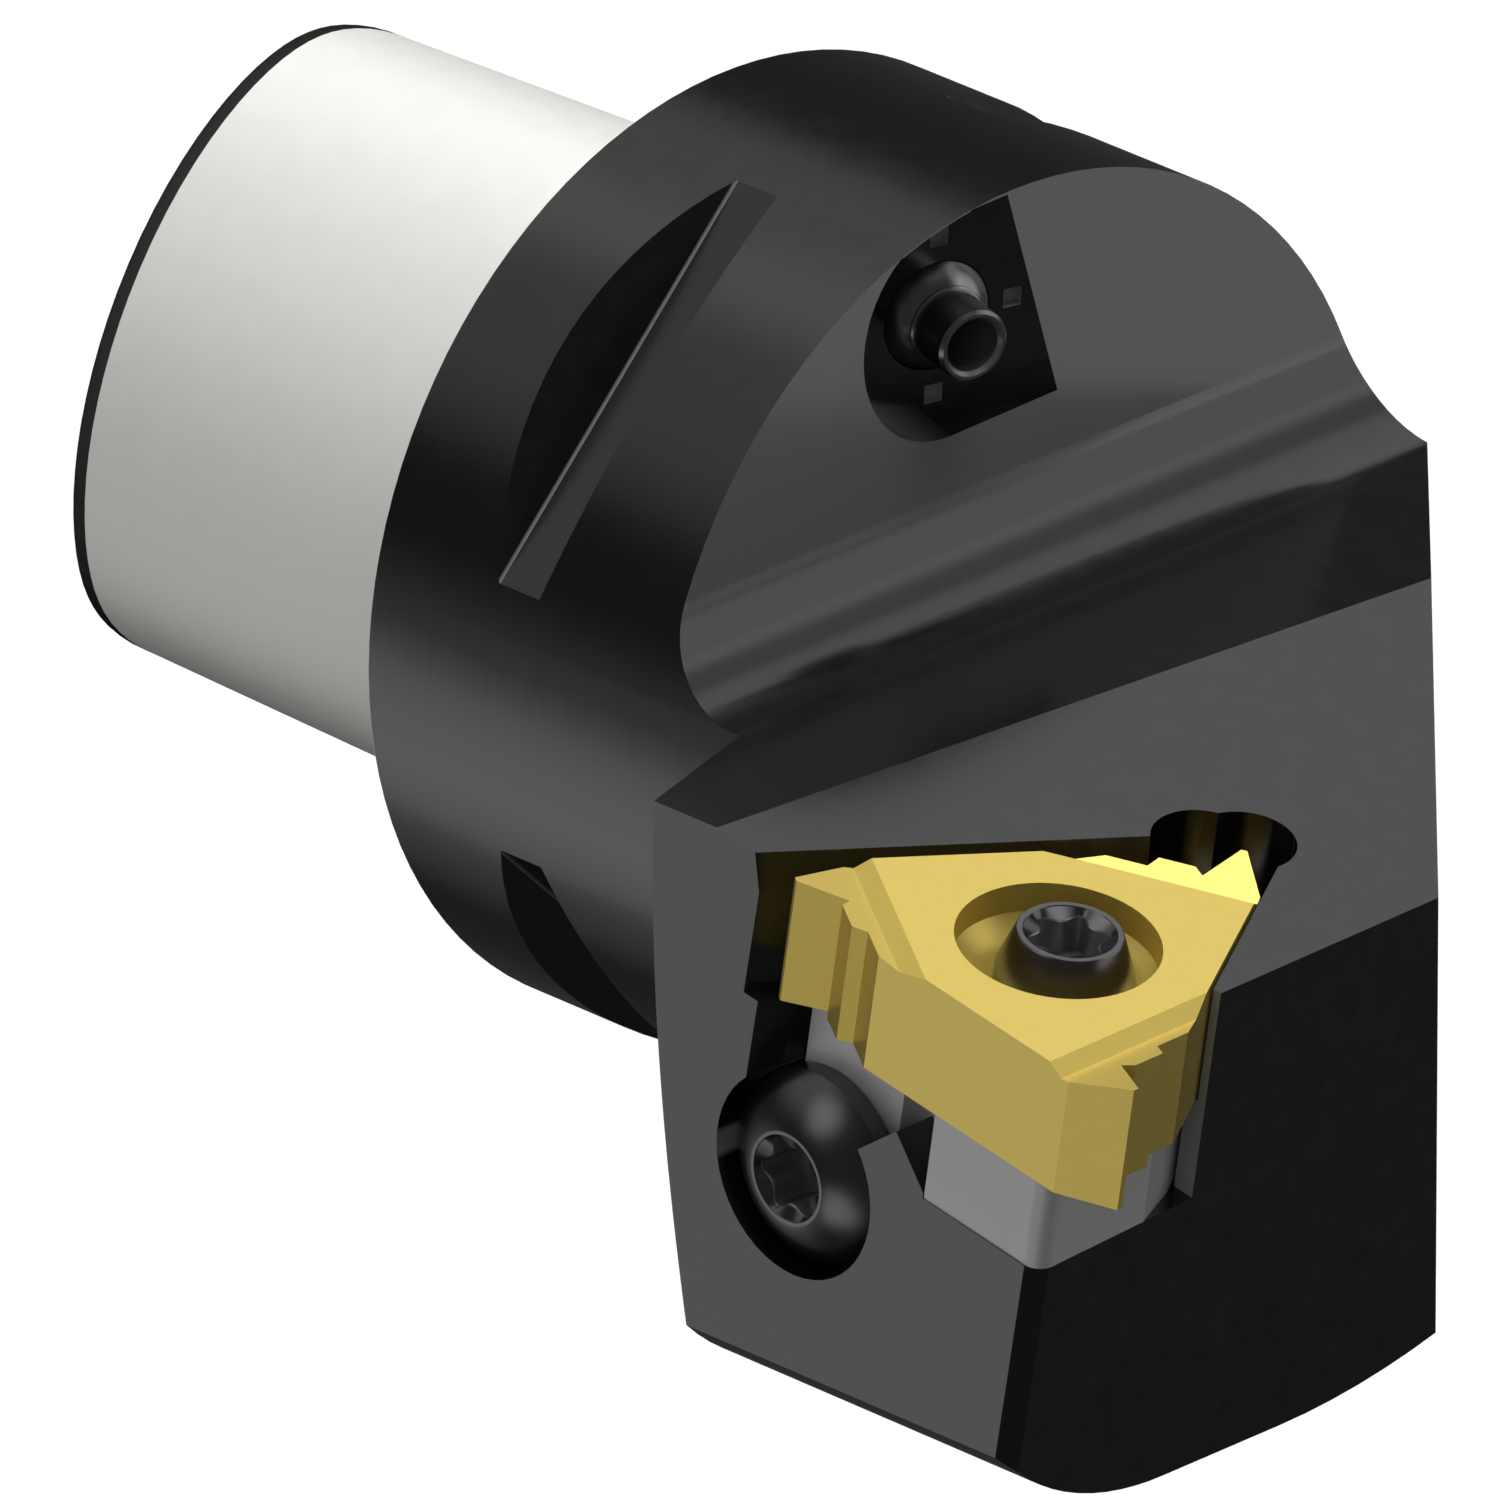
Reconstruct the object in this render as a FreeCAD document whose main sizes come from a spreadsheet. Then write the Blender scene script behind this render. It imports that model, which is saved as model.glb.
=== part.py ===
# Threading head with a polygonal taper shank, a laydown insert on a shim and a swivel coolant nozzle.
# Frame: +X along the shank axis towards the cutting end, +Z up, insert side towards -Y,
# origin at the centre of the flange's contact face. Lengths in millimetres, angles in degrees.
import FreeCAD, Part
import math
import os

from FreeCAD import Placement, Rotation, Vector
from Sketcher import Constraint

SIZES = {
    # coupling
    "flange_radius": 20.0,
    "flange_length": 16.4,
    "polygon_diameter": 28.0,
    "polygon_offset": 0.9,
    "taper_length": 24.0,
    "taper_per_side": 0.025,
    "lead_in": 0.8,
    "clamp_bore_radius": 9.0,
    "clamp_bore_depth": 17.0,
    "clamp_groove_radius": 10.2,
    "clamp_groove_width": 5.0,
    "clamp_groove_inset": 5.5,
    "bolt_minor_radius": 6.19,
    "bolt_thread_length": 13.0,
    "coolant_chamber_radius": 5.0,
    "coolant_chamber_length": 9.0,
    "grip_depth": 2.35,
    "grip_start": 6.6,
    "grip_width": 2.3,
    "grip_wall_angle": 32.0,
    # head block
    "side_offset": 26.3,
    "bottom_offset": 22.3,
    "band_height": 3.87,
    "step_fillet": 4.0,
    "flare_start": 20.7,
    "flare_slope": 0.304,
    "bevel_angle": 45.5,
    "bevel_offset": 28.02,
    "bottom_corner_radius": 13.0,
    "bottom_corner_centre": 17.0,
    "bottom_sweep_radius": 30.0,
    "bottom_sweep_centre": 10.5,
    "front_chamfer": 0.7,
    # insert and its place
    "tip_reach": 49.3,
    "tip_offset": 26.0,
    "tilt": 10.5,
    "lead": 0.9,
    "inscribed_radius": 6.35,
    "insert_thickness": 5.56,
    "shim_thickness": 4.54,
    "shim_lead": 2.5,
    "tip_along": 9.45,
    "tip_aside": 5.0,
    "tip_flat": 0.25,
    "thread_half_angle": 27.5,
    "thread_depth": 1.95,
    "crest_along": 7.9,
    "crest_width": 1.5,
    "shoulder_along": 7.3,
    "strip_along": 6.0,
    "strip_width": 0.69,
    "strip_depth": 0.44,
    "seat_radius": 4.14,
    "seat_depth": 1.3,
    "insert_hole_radius": 2.6,
    # pocket
    "block_drop": 0.32,
    "front_along": 6.04,
    "pocket_wall": 7.1,
    "pocket_far_wall": 7.25,
    "pocket_mouth": 7.65,
    "mouth_reach": 8.5,
    "top_reach": 16.0,
    "mouth_depth": 1.6,
    "ledge_depth": 6.6,
    "shim_wall_gap": 0.05,
    "relief_radius": 2.1,
    "relief_a_along": 1.29,
    "relief_a_aside": 11.65,
    "relief_b_along": 2.32,
    "relief_b_aside": 10.35,
    # shim
    "shim_recess_aside": 3.4,
    "shim_step_along": 0.4,
    "shim_corner": 0.8,
    "shim_side": 5.75,
    "shim_face_aside": 5.39,
    "shim_front_aside": 0.4,
    "shim_bevel_along": 5.2,
    "shim_hole_radius": 2.5,
    "shim_notch_radius": 0.85,
    "shim_notch_along": 3.05,
    "shim_tip": 9.4,
    "rib_height": 1.87,
    "rib_centre": 2.3,
    # insert screw
    "screw_along": 0.15,
    "screw_aside": 0.45,
    "screw_stand": 0.35,
    "screw_top_radius": 2.16,
    "screw_head_radius": 2.8,
    "screw_flare": 1.8,
    "screw_head_height": 2.45,
    "screw_thread_radius": 2.0,
    "screw_length": 17.5,
    "screw_point": 0.4,
    "screw_run_out": 2.0,
    "lobe_radius": 0.42,
    "socket_core": 1.2,
    "socket_radius": 1.68,
    "socket_depth": 1.9,
    "running_gap": 0.04,
    # shim screw
    "side_screw_setback": 18.85,
    "side_screw_z": 9.86,
    "side_seat": 1.94,
    "side_counterbore_depth": 2.3,
    "side_hole_run_out": 1.5,
    "side_head_radius": 4.15,
    "side_head_flank": 0.83,
    "side_dome_height": 1.5,
    "side_top_radius": 2.02,
    "side_counterbore_radius": 4.32,
    "side_thread_radius": 2.5,
    "side_screw_length": 13.0,
    # coolant nozzle
    "nozzle_yaw": 14.4,
    "nozzle_pitch": 4.2,
    "nozzle_y": 3.3,
    "nozzle_rim_gap": 4.8,
    "nozzle_floor_x": 15.3,
    "nozzle_slot_radius": 4.7,
    "nozzle_mouth_radius": 2.36,
    "nozzle_ball_radius": 2.7,
    "nozzle_tube_radius": 1.55,
    "nozzle_tube_length": 3.0,
    "nozzle_collar_radius": 1.85,
    "nozzle_collar_height": 0.35,
    "nozzle_bore_radius": 1.15,
    "nozzle_channel_radius": 1.25,
    "nozzle_slot_length": 8.0,
    "channel_length": 5.0,
    "stake_radius": 3.5,
    "stake_width": 0.85,
    "stake_depth": 0.5,
}

# values worked out from the driving dimensions, as formulas in the same sheet
DERIVED = {
    "polygon_radius": "=polygon_diameter / 2",
    "slab": "=flange_radius * 2",
    "grip_low": "=flange_radius - grip_depth",
    "grip_high": "=flange_radius + grip_depth",
    "grip_end": "=grip_start + grip_width",
    "grip_lean": "=grip_depth * 2 * tan(grip_wall_angle * 1deg)",
    "grip_out_start": "=grip_start - grip_lean",
    "grip_out_end": "=grip_end + grip_lean",
    "flare_reach": "=flange_radius * flare_slope",
    "step_end": "=flange_length + step_fillet",
    "step_top": "=band_height + step_fillet",
    "sweep_centre_z": "=bottom_sweep_radius - bottom_offset",
    "corner_centre_z": "=bottom_offset - bottom_corner_radius",
    "sweep_side_y": "=sqrt(bottom_sweep_radius^2 - (sweep_centre_z - band_height)^2) - bottom_sweep_centre",
    "shim_level": "=insert_thickness + shim_thickness",
    "flank_drop": "=inscribed_radius - tip_aside",
    "flank_start": "=tip_along - (flank_drop - tip_flat / 2) / tan(thread_half_angle * 1deg)",
    "tip_low": "=tip_aside + tip_flat / 2",
    "tip_high": "=tip_aside - tip_flat / 2",
    "root_along": "=tip_along - thread_depth",
    "root_aside": "=tip_high - thread_depth * tan(thread_half_angle * 1deg)",
    "crest_low": "=root_aside - (crest_along - root_along)",
    "crest_high": "=crest_low - crest_width",
    "shoulder_low": "=crest_high - (crest_along - shoulder_along) / 2",
    "side_meet": "=inscribed_radius * 2 - shoulder_along * 2 * cos(30deg)",
    "strip_meet": "=inscribed_radius * 2 - strip_along * 2 * cos(30deg)",
    "strip_end": "=strip_along + strip_width",
    "rake_far": "=tip_along * 1.2",
    "rake_height": "=(rake_far - strip_end) * tan(tilt * 1deg) - strip_depth",
    "mouth_level": "=block_drop + mouth_depth",
    "seat_cone": "=seat_radius - insert_hole_radius",
    "shelf_wall": "=inscribed_radius + shim_wall_gap",
    "pocket_right": "=(pocket_far_wall + pocket_wall / 2) / cos(30deg)",
    "nozzle_z": "=flange_radius - nozzle_rim_gap",
    "side_screw_x": "=tip_reach - side_screw_setback",
    "shim_bevel_end": "=shim_side * 2 - shim_bevel_along * 2 * cos(30deg)",
    "shim_tip_right": "=(shim_side - shim_tip / 2) / cos(30deg)",
    "shim_tip_left": "=(inscribed_radius - shim_tip / 2) / cos(30deg)",
    "shim_end_left": "=(inscribed_radius + shim_recess_aside / 2) / cos(30deg)",
    "screw_cone": "=screw_head_radius - screw_thread_radius",
    "dome_drop": "=(side_head_radius^2 - side_top_radius^2 - side_dome_height^2) / 2 / side_dome_height",
    "dome_radius": "=sqrt(side_head_radius^2 + dome_drop^2)",
    "side_head_height": "=side_head_flank + side_dome_height",
    "ball_drop": "=sqrt(nozzle_ball_radius^2 - nozzle_mouth_radius^2)",
    "collar_level": "=sqrt(nozzle_ball_radius^2 - nozzle_collar_radius^2) - ball_drop",
    "far": "=tip_reach * 2",
    "corner_foot":
        "=corner_centre_z + sqrt(bottom_corner_radius^2 - (side_offset - bottom_corner_centre)^2)",
    "rib_start": "=rib_centre + rib_height",
    "rib_end": "=rib_centre - rib_height",
    "rib_level": "=shim_level - rib_height",
    "rib_foot": "=shim_level + shim_thickness / 4",
    "shim_front_low": "=shim_face_aside - shim_corner",
    "shim_front_start": "=front_along - shim_corner",
}
for shape, inscribed in (("insert", "inscribed_radius"), ("strip", "strip_along")):
    DERIVED[shape + "_apex"] = "=%s * 2" % inscribed
    DERIVED[shape + "_half"] = "=%s * 3 / 2 / cos(30deg)" % inscribed
for pocket, wall in (("upper", "pocket_wall"), ("lower", "shelf_wall")):
    DERIVED[pocket + "_apex_along"] = "=(pocket_far_wall - %s) / 2 / cos(30deg)" % wall
    DERIVED[pocket + "_apex_aside"] = "=pocket_far_wall + %s" % wall
    DERIVED[pocket + "_left"] = "=(%s + pocket_wall / 2) / cos(30deg)" % wall

doc = FreeCAD.newDocument("ThreadingHead")
sheet = doc.addObject("Spreadsheet::Sheet", "Sizes")
for row, (alias, content) in enumerate(list(SIZES.items()) + list(DERIVED.items()), start=1):
    sheet.set("A%d" % row, alias)
    sheet.set("B%d" % row, str(content))
    sheet.setAlias("B%d" % row, alias)
doc.recompute()


def size(alias):
    """The number in a cell, with a leading minus for its negative."""
    if alias == "0":
        return 0.0
    if alias.startswith("-"):
        return -float(sheet.get(alias[1:]))
    return float(sheet.get(alias))


def cell(alias):
    """The expression that reads a cell, with a leading minus for its negative."""
    if alias.startswith("-"):
        return "-Sizes." + alias[1:]
    return "Sizes." + alias


ALONG_X = Rotation(Vector(0, 1, 0), 90)
SECTION_ACROSS = Rotation(Vector(1, 1, 1), 120)
SECTION_ALONG = Rotation(Vector(1, 0, 0), 90)
TILTED = Rotation(Vector(1, 0, 0), size("lead")) * Rotation(Vector(0, 1, 0), size("tilt"))
TIP = Vector(size("tip_reach"), -size("tip_offset"), 0)
RAKE_SLOPE = math.tan(math.radians(size("tilt")))
RAKE_RISE = (size("tip_along") - size("strip_end")) * RAKE_SLOPE - size("strip_depth")
TOP_CENTRE = TIP - TILTED.multVec(Vector(size("tip_along"), -size("tip_aside"), RAKE_RISE))
# the insert's frame: its top face's centre, +Z out of the face, +X towards the cutting end
SEAT = Placement(TOP_CENTRE, TILTED)


def seat(along=0.0, aside=0.0, level=0.0, turn=0.0):
    """A place in the insert's frame, level counted from its top face."""
    return SEAT * Placement(Vector(along, aside, level), Rotation(Vector(0, 0, 1), turn))


def place(base, rotation=None):
    return Placement(Vector(*base), rotation or Rotation())


def beside(where, across=0.0, up=0.0, out=0.0, rotation=None):
    """A place moved and turned in another place's own axes."""
    return where * Placement(Vector(across, up, out), rotation or Rotation())


def cylinder(name, radius, length, where):
    """A cylinder along its own +Z, its sizes given as sheet expressions."""
    body = doc.addObject("Part::Cylinder", name)
    body.setExpression("Radius", radius)
    body.setExpression("Height", length)
    body.Placement = where
    return body


def cone(name, radius, far_radius, length, where):
    body = doc.addObject("Part::Cone", name)
    body.setExpression("Radius1", radius)
    body.setExpression("Radius2", far_radius)
    body.setExpression("Height", length)
    body.Placement = where
    return body


def box(name, length, width, height, where):
    body = doc.addObject("Part::Box", name)
    body.setExpression("Length", length)
    body.setExpression("Width", width)
    body.setExpression("Height", height)
    body.Placement = where
    return body


def ball(name, radius, where):
    body = doc.addObject("Part::Sphere", name)
    body.setExpression("Radius", radius)
    body.Placement = where
    return body


def fuse(name, shapes):
    body = doc.addObject("Part::MultiFuse", name)
    body.Shapes = shapes
    body.Refine = True
    return body


def common(name, shapes):
    body = doc.addObject("Part::MultiCommon", name)
    body.Shapes = shapes
    return body


def cut(name, base, tools):
    """Base less every tool, one plain cut after another."""
    for count, tool in enumerate(tools):
        body = doc.addObject("Part::Cut", "%s_%d" % (name, count))
        body.Base = base
        body.Tool = tool
        base = body
    return base


def arc_between(start, end, radius):
    """A counter-clockwise arc of under half a turn."""
    chord = end - start
    rise = math.sqrt(radius ** 2 - (chord.Length / 2) ** 2)
    centre = start + chord * 0.5 + Vector(-chord.y, chord.x, 0).normalize() * rise
    first = math.atan2(start.y - centre.y, start.x - centre.x)
    last = math.atan2(end.y - centre.y, end.x - centre.x)
    return Part.ArcOfCircle(Part.Circle(centre, Vector(0, 0, 1), radius), first, last)


def outline(name, points, length, where, arcs=None):
    """A sketch through points named by cells, counter-clockwise, extruded along its own +Z.

    arcs gives the radius of the stretches, counted by their first point, that are round.
    """
    arcs = arcs or {}
    sketch = doc.addObject("Sketcher::SketchObject", name + "_sketch")
    corners = [Vector(size(across), size(up), 0) for across, up in points]
    for index, corner in enumerate(corners):
        following = corners[(index + 1) % len(corners)]
        if index in arcs:
            sketch.addGeometry(arc_between(corner, following, size(arcs[index])))
            number = sketch.addConstraint(Constraint("Radius", index, size(arcs[index])))
            sketch.setExpression("Constraints[%d]" % number, cell(arcs[index]))
        else:
            sketch.addGeometry(Part.LineSegment(corner, following))
    for index, (across, up) in enumerate(points):
        sketch.addConstraint(Constraint("Coincident", index, 2, (index + 1) % len(points), 1))
        for kind, alias in (("DistanceX", across), ("DistanceY", up)):
            if alias == "0":
                line = -2 if kind == "DistanceX" else -1
                sketch.addConstraint(Constraint("PointOnObject", index, 1, line))
                continue
            number = sketch.addConstraint(Constraint(kind, -1, 1, index, 1, size(alias)))
            sketch.setExpression("Constraints[%d]" % number, cell(alias))
    body = doc.addObject("Part::Extrusion", name)
    body.Base = sketch
    body.DirMode = "Normal"
    body.setExpression("LengthFwd", length)
    body.Solid = True
    body.Placement = where
    return body


def triangle(name, shape, inscribed, length, where):
    """An equilateral prism round its own +Z, one side towards its own -Y."""
    half = shape + "_half"
    points = [("0", shape + "_apex"), ("-" + half, "-" + inscribed), (half, "-" + inscribed)]
    return outline(name, points, length, where)


def polygon_wire(radius, station):
    """The three-lobed curve of the taper at one station along the shank, a lobe towards +Z."""
    offset = size("polygon_offset")
    points = []
    for step in range(72):
        turn = math.radians(step * 5)
        across = radius * math.cos(turn) - 2 * offset * math.cos(2 * turn) + offset * math.cos(4 * turn)
        up = radius * math.sin(turn) + 2 * offset * math.sin(2 * turn) + offset * math.sin(4 * turn)
        points.append(Vector(station, across, up))
    curve = Part.BSplineCurve()
    curve.interpolate(points, PeriodicFlag=True)
    wire = Part.Wire(curve.toShape())
    wire.rotate(Vector(0, 0, 0), Vector(1, 0, 0), 30)
    return wire


def taper_shank():
    """The polygonal taper, from the contact face to its rear end, with the lead-in at the end."""
    end = size("taper_length")
    lead_in = size("lead_in")
    slope = size("taper_per_side")
    radius = size("polygon_radius")
    stations = [(0.0, radius), (lead_in - end, radius - slope * (end - lead_in))]
    stations.append((-end, stations[-1][1] - lead_in))
    wires = [polygon_wire(where_radius, station) for station, where_radius in stations]
    body = doc.addObject("Part::Feature", "taper_shank")
    solids = [Part.makeLoft([near, far], True, True) for near, far in zip(wires, wires[1:])]
    body.Shape = solids[0].fuse(solids[1:])
    return body


def head_blank():
    """Flange, flared shoulder and block before anything is cut into them."""
    flange = cylinder("flange", "Sizes.flange_radius", "Sizes.flare_start", place((0, 0, 0), ALONG_X))
    core = cylinder("blank_core", "Sizes.flange_radius", "Sizes.tip_reach", place((0, 0, 0), ALONG_X))
    flare = cone("blank_flare", "Sizes.flange_radius", "Sizes.flange_radius * 2", "Sizes.flare_reach",
                 place((size("flare_start"), 0, 0), ALONG_X))
    bar = cylinder("blank_bar", "Sizes.flange_radius * 2", "Sizes.tip_reach",
                   place((size("flare_start") + size("flare_reach"), 0, 0), ALONG_X))
    block = common("block", [fuse("block_round", [core, flare, bar]), block_prism()])
    return fuse("head_blank", [taper_shank(), flange, block])


def block_prism():
    """The block's cross-section, flat underneath, rounded to its side and swept up on the other."""
    points = [("-side_offset", "band_height"), ("-side_offset", "-corner_foot"),
              ("-bottom_corner_centre", "-bottom_offset"), ("-bottom_sweep_centre", "-bottom_offset"),
              ("sweep_side_y", "band_height")]
    rounds = {1: "bottom_corner_radius", 3: "bottom_sweep_radius"}
    return outline("block_section", points, "Sizes.far", place((0, 0, 0), SECTION_ACROSS), rounds)


def grip_notches():
    """Four flat-bottomed notches for the tool changer, midway between the quarter lines."""
    points = [("grip_out_start", "grip_high"), ("grip_start", "grip_low"),
              ("grip_end", "grip_low"), ("grip_out_end", "grip_high")]
    notches = []
    for quarter in range(4):
        facing = Rotation(Vector(1, 0, 0), 45 + 90 * quarter)
        where = beside(place((0, 0, 0), facing), out=-size("flange_radius"))
        notches.append(outline("grip_notch_%d" % quarter, points, "Sizes.slab", where))
    return notches


def faces_milled():
    """The step with its fillet, the inclined top, the front, the bevel and the front corner's chamfer."""
    far = size("far")
    points = [("flange_length", "step_top"), ("step_end", "band_height"), ("far", "band_height"),
              ("far", "far"), ("flange_length", "far")]
    where = place((0, far / 2, 0), SECTION_ALONG)
    step = outline("step_cutter", points, "Sizes.far", where, {0: "step_fillet"})
    top = box("top_cutter", "Sizes.far", "Sizes.far", "Sizes.far",
              seat(-size("top_reach"), -far / 2, -size("block_drop")))
    front = box("front_cutter", "Sizes.far", "Sizes.far", "Sizes.far",
                seat(size("front_along"), -far / 2, -far / 2))
    bevelled = place((0, 0, 0), Rotation(Vector(0, 0, 1), size("bevel_angle")))
    bevel = box("bevel_cutter", "Sizes.far", "Sizes.far", "Sizes.far",
                beside(bevelled, size("bevel_offset"), -far / 2, -far / 2))
    corner = seat(size("front_along"), size("tip_offset") - size("side_offset") - size("tip_aside"))
    corner.Base.y = -size("side_offset")
    corner = Placement(corner.Base, Rotation(Vector(0, 1, 0), size("tilt")) * Rotation(Vector(0, 0, 1), -45))
    chamfer = box("chamfer_cutter", "Sizes.far", "Sizes.far", "Sizes.far",
                  beside(corner, -size("front_chamfer") / math.sqrt(2), -far / 2, -far / 2))
    return [step, top, front, bevel, chamfer]


def pocket_prism(name, zone, low):
    """The pocket's plan, open to the side and the front, from one level upwards."""
    points = [(zone + "_apex_along", zone + "_apex_aside"), ("-" + zone + "_left", "-pocket_wall"),
              ("pocket_right", "-pocket_wall")]
    return outline(name, points, "Sizes.far", seat(level=-low))


def floor_block(name):
    """Everything under the pocket's floor, which leans from the insert's plane by the shim's lead."""
    far = size("far")
    floor = beside(seat(level=-size("shim_level")), rotation=Rotation(Vector(1, 0, 0), size("shim_lead")))
    return box(name, "Sizes.far", "Sizes.far", "Sizes.far", beside(floor, -far / 2, -far / 2, -far))


def insert_pocket():
    """The pocket for insert and shim, its flared mouth, the two relief holes and the screw's hole."""
    below = size("shim_level") + size("shim_thickness")
    deep = [pocket_prism("pocket_lower", "lower", below)]
    for name in ("relief_a", "relief_b"):
        where = seat(-size(name + "_along"), size(name + "_aside"), -below)
        deep.append(cylinder(name, "Sizes.relief_radius", "Sizes.far", where))
    deep = [cut(tool.Name + "_floored", tool, [floor_block(tool.Name + "_floor")]) for tool in deep]
    upper = pocket_prism("pocket_upper", "upper", size("ledge_depth"))
    points = [("inscribed_radius", "-mouth_level"), ("pocket_wall", "-mouth_level"),
              ("pocket_mouth", "0"), ("inscribed_radius", "0")]
    where = beside(seat(turn=150), rotation=SECTION_ALONG)
    mouth = outline("pocket_mouth_flare", points, "Sizes.upper_left + Sizes.mouth_reach",
                    beside(where, out=-size("upper_left")))
    low = size("screw_stand") - size("screw_length") - size("screw_run_out")
    radius = "Sizes.screw_thread_radius + Sizes.running_gap"
    hole = cylinder("insert_screw_hole", radius, "Sizes.screw_length",
                    seat(size("screw_along"), size("screw_aside"), low))
    return [upper, mouth, hole] + deep


def pocket_rib():
    """The wedge left standing between the shim and its screw, flush with the side."""
    points = [("-rib_start", "-rib_foot"), ("-rib_end", "-rib_foot"), ("-rib_end", "-shim_level"),
              ("-rib_centre", "-rib_level"), ("-rib_start", "-shim_level")]
    where = beside(seat(aside=-size("shim_recess_aside")), rotation=SECTION_ALONG)
    wedge = outline("rib_wedge", points, "Sizes.inscribed_radius", where)
    return common("pocket_rib", [wedge, block_prism()])


def side_place(depth):
    """A place on the shim screw's axis, +Z out of the side face, at a depth below that face."""
    base = (size("side_screw_x"), depth - size("side_offset"), -size("side_screw_z"))
    return place(base, SECTION_ALONG)


def side_hole():
    """The counterbored hole of the shim screw."""
    counterbore = cylinder("side_counterbore", "Sizes.side_counterbore_radius", "Sizes.side_head_radius",
                           side_place(size("side_counterbore_depth")))
    depth = size("side_seat") + size("side_screw_length") + size("side_hole_run_out")
    hole = cylinder("side_thread_hole", "Sizes.side_thread_radius + Sizes.running_gap",
                    "Sizes.side_screw_length + Sizes.side_hole_run_out", side_place(depth))
    return [counterbore, hole]


def nozzle_place(out=0.0, across=0.0, aside=0.0):
    """A place at the floor of the nozzle's pocket, +Z out of the floor and +Y to the far side."""
    facing = Rotation(Vector(0, 0, 1), -size("nozzle_yaw"))
    facing = facing * Rotation(Vector(0, 1, 0), 90 + size("nozzle_pitch"))
    floor = place((size("nozzle_floor_x"), -size("nozzle_y"), size("nozzle_z")), facing)
    return beside(floor, across, aside, out)


def nozzle_pocket():
    """The milled slot, the ball's socket, its four stake marks and the channel behind it."""
    length = "Sizes.nozzle_slot_length"
    slot_end = cylinder("nozzle_slot_end", "Sizes.nozzle_slot_radius", length, nozzle_place())
    slot = box("nozzle_slot", "Sizes.nozzle_slot_radius * 2", length, length,
               nozzle_place(across=-size("nozzle_slot_radius")))
    drop = size("ball_drop")
    socket = ball("nozzle_socket", "Sizes.nozzle_ball_radius + Sizes.running_gap", nozzle_place(-drop))
    tools = [slot_end, slot, socket]
    for quarter in range(4):
        where = beside(nozzle_place(-size("stake_depth")), rotation=Rotation(Vector(0, 0, 1), 90 * quarter))
        where = beside(where, size("stake_radius") - size("stake_width") / 2, -size("stake_width") / 2)
        tools.append(box("stake_mark_%d" % quarter, "Sizes.stake_width", "Sizes.stake_width",
                         "Sizes.nozzle_slot_length", where))
    back = nozzle_place(-drop - size("channel_length"))
    tools.append(cylinder("channel_back", "Sizes.nozzle_channel_radius", "Sizes.channel_length", back))
    foot = place((back.Base.x, back.Base.y, 0))
    tools.append(cylinder("channel_riser", "Sizes.nozzle_channel_radius", "Sizes.nozzle_z", foot))
    bend = place((foot.Base.x, foot.Base.y, size("nozzle_z")))
    tools.append(ball("channel_bend", "Sizes.nozzle_channel_radius", bend))
    return tools


def rear_bores():
    """The clamping bore with its groove, the draw bolt's thread hole and the coolant chamber."""
    end = -size("taper_length")
    floor = end + size("clamp_bore_depth")
    thread_end = floor + size("bolt_thread_length")
    groove = end + size("clamp_groove_inset")
    return [
        cylinder("clamp_bore", "Sizes.clamp_bore_radius", "Sizes.clamp_bore_depth",
                 place((end, 0, 0), ALONG_X)),
        cylinder("clamp_groove", "Sizes.clamp_groove_radius", "Sizes.clamp_groove_width",
                 place((groove, 0, 0), ALONG_X)),
        cylinder("bolt_hole", "Sizes.bolt_minor_radius", "Sizes.bolt_thread_length",
                 place((floor, 0, 0), ALONG_X)),
        cylinder("coolant_chamber", "Sizes.coolant_chamber_radius", "Sizes.coolant_chamber_length",
                 place((thread_end, 0, 0), ALONG_X)),
    ]


def head_body():
    tools = grip_notches() + faces_milled() + insert_pocket() + nozzle_pocket() + rear_bores()
    ribbed = fuse("head_ribbed", [cut("head_cut", head_blank(), tools), pocket_rib()])
    return cut("head_body", ribbed, side_hole())


def shim():
    points = [("shim_front_start", "-shim_face_aside"), ("front_along", "-shim_front_low"),
              ("front_along", "shim_front_aside"), ("shim_bevel_along", "shim_bevel_end"),
              ("shim_tip_right", "shim_tip"), ("-shim_tip_left", "shim_tip"),
              ("-shim_end_left", "-shim_recess_aside"), ("-shim_step_along", "-shim_recess_aside"),
              ("-shim_step_along", "-shim_face_aside")]
    low = -size("shim_level") - size("shim_thickness")
    plate = outline("shim_plate", points, "Sizes.shim_thickness * 2", seat(level=low), {0: "shim_corner"})
    notch = cylinder("shim_notch", "Sizes.shim_notch_radius", "Sizes.far",
                     seat(-size("shim_notch_along"), -size("shim_recess_aside"), low))
    hole = cylinder("shim_hole", "Sizes.shim_hole_radius", "Sizes.far",
                    seat(size("screw_along"), size("screw_aside"), low))
    return cut("carbide_shim", plate, [floor_block("shim_floor"), notch, hole])


def insert_corner(index):
    """One thread-form corner with its chip strip, from the core's cut-off outwards."""
    turn = 120 * index
    points = [("strip_along", "-inscribed_radius"), ("flank_start", "-inscribed_radius"),
              ("tip_along", "-tip_low"),
              ("tip_along", "-tip_high"), ("root_along", "-root_aside"), ("crest_along", "-crest_low"),
              ("crest_along", "-crest_high"), ("shoulder_along", "-shoulder_low"),
              ("shoulder_along", "side_meet"),
              ("strip_along", "strip_meet")]
    bottom = seat(level=-size("insert_thickness"), turn=turn)
    plan = outline("corner_plan_%d" % index, points, "Sizes.far", bottom)
    points = [("strip_along", "-insert_thickness"), ("rake_far", "-insert_thickness"),
              ("rake_far", "rake_height"),
              ("strip_end", "-strip_depth"), ("strip_along", "0")]
    where = beside(seat(turn=turn), up=size("far") / 2, rotation=SECTION_ALONG)
    profile = outline("corner_profile_%d" % index, points, "Sizes.far", where)
    return common("corner_%d" % index, [plan, profile])


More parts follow.
